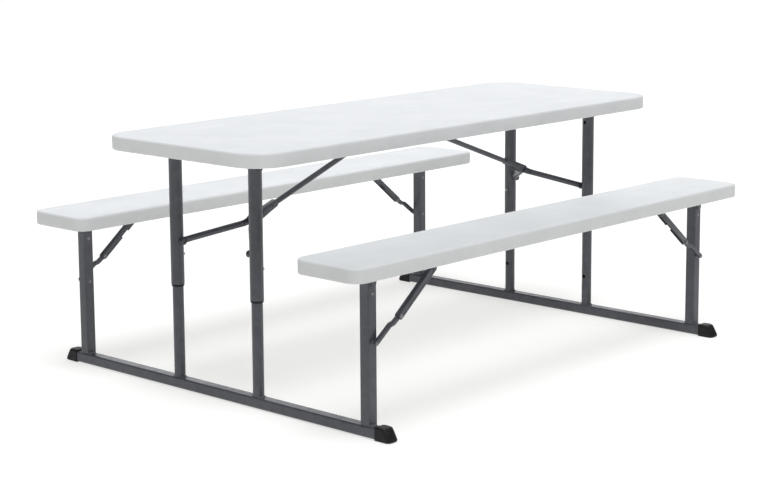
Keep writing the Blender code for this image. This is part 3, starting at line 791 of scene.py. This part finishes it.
def wishbone_arms():
    """Tube that spreads from the elbow to the leg, pressed flat at both ends, with the nut at its foot."""
    foot = Vector((FRAME_X, 0, WISHBONE_FOOT_Z))
    reach, outer = (foot - BRACE_ELBOW).length, ARM_HIGH.y - 0.002

    # Stations along the arm: distance from the elbow, y of the middle, half thickness, half width.
    stations = []
    for u in (-0.0099, -0.0094, -0.0080, -0.0055, -0.0026):
        wide = math.sqrt(max(0.0100**2 - u * u, 1e-6)) if u > -0.0099 else 0.0024
        stations.append((u, 0.0129, 0.0019, wide))
    stations += [
        (0.0000, 0.0129, 0.0019, 0.0100),
        (0.0060, 0.0129, 0.0019, 0.0100),
        (0.0105, 0.0134, 0.0022, 0.0098),
        (0.0150, 0.0160, 0.0036, 0.0095),
        (0.0200, 0.0204, 0.0058, 0.0091),
        (0.0260, 0.0267, 0.0080, 0.0090),
        (0.0320, 0.0330, 0.0090, 0.0090),
        (0.0600, 0.0614, 0.0090, 0.0090),
        (0.0900, 0.0918, 0.0090, 0.0090),
        (0.1160, 0.1181, 0.0090, 0.0090),
        (0.1230, 0.1250, 0.0082, 0.0090),
        (0.1290, 0.1306, 0.0062, 0.0091),
        (0.1345, 0.1355, 0.0040, 0.0095),
        (0.1395, 0.1390, 0.0024, 0.0098),
        (reach, outer, 0.0020, 0.0100),
    ]
    for u in (0.0025, 0.0055, 0.0080, 0.0094, 0.0099):
        stations.append((reach + u, outer, 0.0020, math.sqrt(max(0.010**2 - u * u, 1e-6))))

    # The section is nearly square where the arm is flat, and round in its middle.
    rings = []
    for i, (u, y, thick, wide) in enumerate(stations):
        before, after = stations[max(i - 1, 0)], stations[min(i + 1, len(stations) - 1)]
        ahead = Vector((after[0] - before[0], after[1] - before[1])).normalized()
        side = Vector((-ahead.y, ahead.x))
        power = 0.45 + 0.55 * min(1.0, max(0.0, (thick - 0.002) / 0.006))
        ring = []
        for a, b in circle(1, 24):
            ca, cb = math.copysign(abs(a) ** power, a), math.copysign(abs(b) ** power, b)
            ring.append((u + side.x * ca * thick, y + side.y * ca * thick, cb * wide))
        rings.append(ring)
    arm = cut(loft(rings), cylinder(0.0051, 0.005, 0.025, "Y", 28))
    profile = [(0.0088, 0.0), (0.0088, 0.0042), (0.0100, 0.0048), (0.0100, 0.0068), (0.0094, 0.0086)]
    profile += [(0.0078, 0.0098), (0.0056, 0.0102), (0.0046, 0.0098), (0.0042, 0.0074), (0.0008, 0.0072)]
    nut = moved(lathe(profile, 32), Matrix.Translation((reach, outer - 0.0012, 0)) @ along_y(-1))
    arm = moved(joined(arm, nut), Matrix.Translation(BRACE_ELBOW) @ tilt(BRACE_ELBOW, foot))
    quarters("wishbone_bar", arm, "{end}_wishbone", "coated_steel", "wishbone_arm", sharp=50)


# Bench braces ------------------------------------------------------------------------------------------


def bench_channels():
    """Upper link: a channel that is open below, with a notch in its lower edges."""
    half, width = 0.0090, 0.0073
    length = (BENCH_ELBOW - BENCH_TOP).length
    outline = arc(0, 0, half, 90, 270, 18) + arc(length + 0.001, 0, half, -90, 90, 18)
    shell = prism(outline, -width, width)
    inside = (WALL - width, width - WALL)
    notch = [(0.056, -0.02), (0.086, -0.02), (0.086, -0.0036)]
    notch += [(0.0610, -0.0036), (0.0575, -0.0048), (0.056, -0.0076)]
    shell = cut(
        shell,
        box((-0.05, length + 0.05), inside, (-0.03, half - WALL)),
        box((-0.05, 0.020), inside, (-0.03, 0.03)),
        prism(notch, -0.02, 0),
        cylinder(0.0044, -0.02, 0.02, "Y", 28),
        moved(cylinder(0.0044, -0.02, 0.02, "Y", 28), Matrix.Translation((length, 0, 0))),
    )
    place = Matrix.Translation(BENCH_TOP + BENCH_BRACE_MIDDLE) @ tilt(BENCH_TOP, BENCH_ELBOW)
    channel = moved(bevelled(shell, 0.0006, 2), place)
    quarters("bench_channel_link", channel, "{end}_bench_brace", "coated_steel", "bench_brace_channel")


def bench_links():
    """Lower link: a narrow channel with a joggle, which turns in the upper link and on the leg's stud."""
    foot = Vector((FRAME_X, 0, BENCH_BRACE_FOOT_Z))
    length, half = (foot - BENCH_ELBOW).length, 0.0063
    inner, outer = -0.0052, 0.0037
    joggle = [(0.024, -0.0005), (0.028, 0.0002), (0.033, 0.0020), (0.038, 0.0038), (0.042, 0.0045)]
    upper = [(x, z + half) for x, z in joggle]
    lower = [(x + 0.002, z - half) for x, z in joggle]
    outline = arc(0, 0, half, 90, 270, 14) + lower + arc(length, 0, half, -90, 90, 14) + upper[::-1]
    hollow = [(x, z - WALL) for x, z in [(0.010, half), *upper, (length - 0.010, half)]]
    hollow += [(length - 0.010, -0.02), (0.010, -0.02)]
    bar = cut(prism(outline, inner, outer), prism(hollow, inner + WALL, outer - WALL))
    bar = joined(bevelled(bar, 0.0005, 2), cylinder(0.0036, -0.0080, 0.0080, "Y", 24))
    heads = []
    for side in (-1, 1):
        elbow = Matrix.Translation((0, side * 0.0076, 0)) @ along_y(side)
        heads.append(moved(rivet(radius=0.0060, height=0.0018), elbow))
    end = Matrix.Translation((length, outer - 0.0005, 0)) @ along_y(1)
    heads.append(moved(rivet(radius=0.0050, height=0.0022), end))
    place = Matrix.Translation(BENCH_ELBOW + BENCH_BRACE_MIDDLE) @ tilt(BENCH_ELBOW, foot)
    quarters("bench_bar_link", moved(bar, place), "{end}_bench_link", "coated_steel", "bench_brace_link")
    rivets = moved(joined(*heads), place)
    quarters("bench_link_rivets", rivets, "{end}_bench_link", "coated_steel", look=RIVET)


# Hinge plates under the slabs --------------------------------------------------------------------------


def screw():
    """Pan head with a cross recess, hanging down from z = 0."""
    head = moved(rivet(radius=0.0048, height=0.0026), Matrix.Rotation(math.radians(180), 4, "X"))
    slot = box((-0.0024, 0.0024), (-0.0005, 0.0005), (-0.004, -0.0016))
    cross = moved(slot.copy(), Matrix.Rotation(math.radians(90), 4, "Z"))
    return cut(head, slot, cross)


def screws_at(spots, top):
    """Screws at (x, y) spots, under a sheet with its upper face at top."""
    sheet = 0.0021
    return joined(*(moved(screw(), Matrix.Translation((x, y, top - sheet))) for x, y in spots))


def eased_plate(node):
    """Copy of a sheet part's CAD solid, with its edges rounded."""
    return bevelled(frame["nodes"][node].data.copy(), 0.0005, 2)


def brackets():
    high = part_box("table_leg_bracket" + Q)[1]
    plate = eased_plate("table_leg_bracket" + Q)
    quarters("leg_hinge_bracket", plate, "table", "coated_steel", "table_leg_bracket")
    spots = [(FRAME_X + dx, TABLE_LEG_Y + dy) for dx in (-0.021, 0.021) for dy in (-0.036, 0.036)]
    quarters("leg_bracket_screws", screws_at(spots, high.z), "table", "plated_steel")

    low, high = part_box("bench_hinge_plate" + Q)
    plate = eased_plate("bench_hinge_plate" + Q)
    quarters("seat_hinge_plate", plate, "benches", "coated_steel", "bench_hinge_plate")
    spots = [(low.x + dx, low.y + dy) for dx in (0.012, 0.075, 0.150, 0.215) for dy in (0.009, 0.034)]
    quarters("seat_plate_screws", screws_at(spots, high.z), "benches", "plated_steel")

    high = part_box("brace_anchor_right")[1]
    halves("brace_anchor_bracket", eased_plate("brace_anchor_right"), "table", "coated_steel", "brace_anchor")
    spots = [(centre("brace_anchor_right").x, sy * 0.024) for sy in (-1, 1)]
    halves("brace_anchor_screws", screws_at(spots, high.z), "table", "plated_steel")


# Studio ------------------------------------------------------------------------------------------------


FLOOR_HALF = 40


def studio():
    """Pale floor that glows a little, an even world, and three lamps."""
    corners = [(x * FLOOR_HALF, y * FLOOR_HALF) for x, y in ((-1, -1), (1, -1), (1, 1), (-1, 1))]
    floor_mesh = prism(corners, -0.05, -0.0006, "Z")
    floor = bpy.data.objects.new("studio_floor", floor_mesh)
    bpy.context.scene.collection.objects.link(floor)
    made, tree, shader, coords = start_material("studio_floor", specular=0.2)
    cloud = ramp(tree, noise_of(tree, coords, 2.0, 3), 0, 1)
    tone = mixed(tree, cloud, (0.40, 0.399, 0.394), (0.41, 0.409, 0.404))
    wire(tree, (tone, shader.inputs["Base Color"]))
    shader.inputs["Roughness"].default_value = 0.85
    shader.inputs["Emission Color"].default_value = (1.0, 0.995, 0.975, 1)
    shader.inputs["Emission Strength"].default_value = 0.63
    floor_mesh.materials.append(made)

    world = bpy.data.worlds.new("studio")
    bpy.context.scene.world = world
    world.use_nodes = True
    background = world.node_tree.nodes["Background"]
    background.inputs["Color"].default_value = (1.0, 0.985, 0.94, 1)
    background.inputs["Strength"].default_value = 0.17

    def lamp(name, kind, place, target, power, colour, **settings):
        light = bpy.data.lights.new(name, kind)
        light.energy, light.color = power, colour
        for key, value in settings.items():
            setattr(light, key, value)
        obj = bpy.data.objects.new(name, light)
        bpy.context.scene.collection.objects.link(obj)
        obj.location = place
        obj.rotation_euler = (Vector(target) - Vector(place)).to_track_quat("-Z", "Y").to_euler()

    above = dict(angle=math.radians(38))
    behind = dict(shape="RECTANGLE", size=10.0, size_y=3.0)
    lamp("key_overhead", "SUN", (-0.5, -0.8, 4.2), (0, 0, 0.6), 2.72, (0.935, 0.965, 1.0), **above)
    lamp("fill_front", "AREA", (1.6, -5.6, 1.9), (0, 0, 0.4), 6, (1.0, 0.99, 0.97), shape="DISK", size=3.0)
    lamp("backdrop", "AREA", (4.6, 4.2, 2.7), (0, 0, 0.5), 165, (0.97, 0.97, 1.0), **behind)


CAMERA_PLACE = (-4.2391, -3.8421, 1.4451)
CAMERA_YAW, CAMERA_PITCH, CAMERA_ROLL = 42.75, -9.14, -0.40
LENS_MM, SENSOR_MM = 90.3581, 36
LENS_SHIFT_Y = -0.08970976


def camera():
    """Camera fitted to the photograph. The lens shift puts its axis above the middle of the picture."""
    yaw, pitch, roll = (math.radians(a) for a in (CAMERA_YAW, CAMERA_PITCH, CAMERA_ROLL))
    ahead = Vector((math.cos(yaw) * math.cos(pitch), math.sin(yaw) * math.cos(pitch), math.sin(pitch)))
    right = Vector((math.sin(yaw), -math.cos(yaw), 0))
    up = right.cross(ahead)
    right, up = right * math.cos(roll) + up * math.sin(roll), up * math.cos(roll) - right * math.sin(roll)
    data = bpy.data.cameras.new("camera")
    data.sensor_width = SENSOR_MM
    data.sensor_fit = "HORIZONTAL"
    data.lens = LENS_MM
    data.shift_y = LENS_SHIFT_Y
    data.clip_start, data.clip_end = 0.1, 150
    obj = bpy.data.objects.new("camera", data)
    bpy.context.scene.collection.objects.link(obj)
    obj.matrix_world = Matrix.Translation(CAMERA_PLACE) @ Matrix((right, up, -ahead)).transposed().to_4x4()
    bpy.context.scene.camera = obj


build_slabs()
table_legs()
base_rails()
foot_caps()
bench_legs()
table_braces()
wishbone_arms()
bench_channels()
bench_links()
brackets()
studio()
camera()

bpy.context.scene.view_settings.view_transform = "Standard"
bpy.context.scene.view_settings.look = "None"

bpy.context.view_layer.update()
